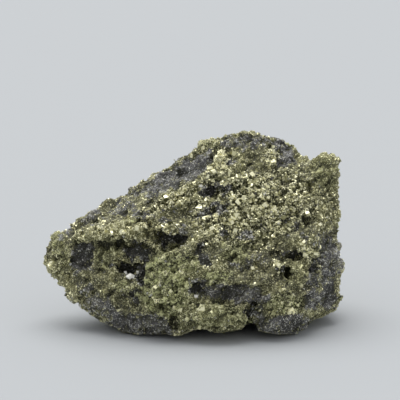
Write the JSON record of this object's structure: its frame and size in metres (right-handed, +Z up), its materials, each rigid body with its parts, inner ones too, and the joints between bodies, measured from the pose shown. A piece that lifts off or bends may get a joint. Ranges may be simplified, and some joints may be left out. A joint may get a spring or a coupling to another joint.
{
  "type": "fluorite with pyrite specimen",
  "caption": "Broken hand specimen of granular olive-gold pyrite with dark grey-violet fluorite in bands and pits, resting on its flat broken underside.",
  "frame": {"origin": "under the middle of the stone, on the surface that it rests on", "axes": "+X from the tapered left tip to the blunt right side, +Y from the front to the back, +Z up"},
  "size_m": [0.1022, 0.0648, 0.0628],
  "materials": {
    "granular_pyrite_fluorite": "sugary olive-gold metallic grains with dark grey-violet granular fluorite between them"
  },
  "bodies": {
    "root": {"fluorite_pyrite_rock": "granular_pyrite_fluorite"}
  },
  "joints": []
}
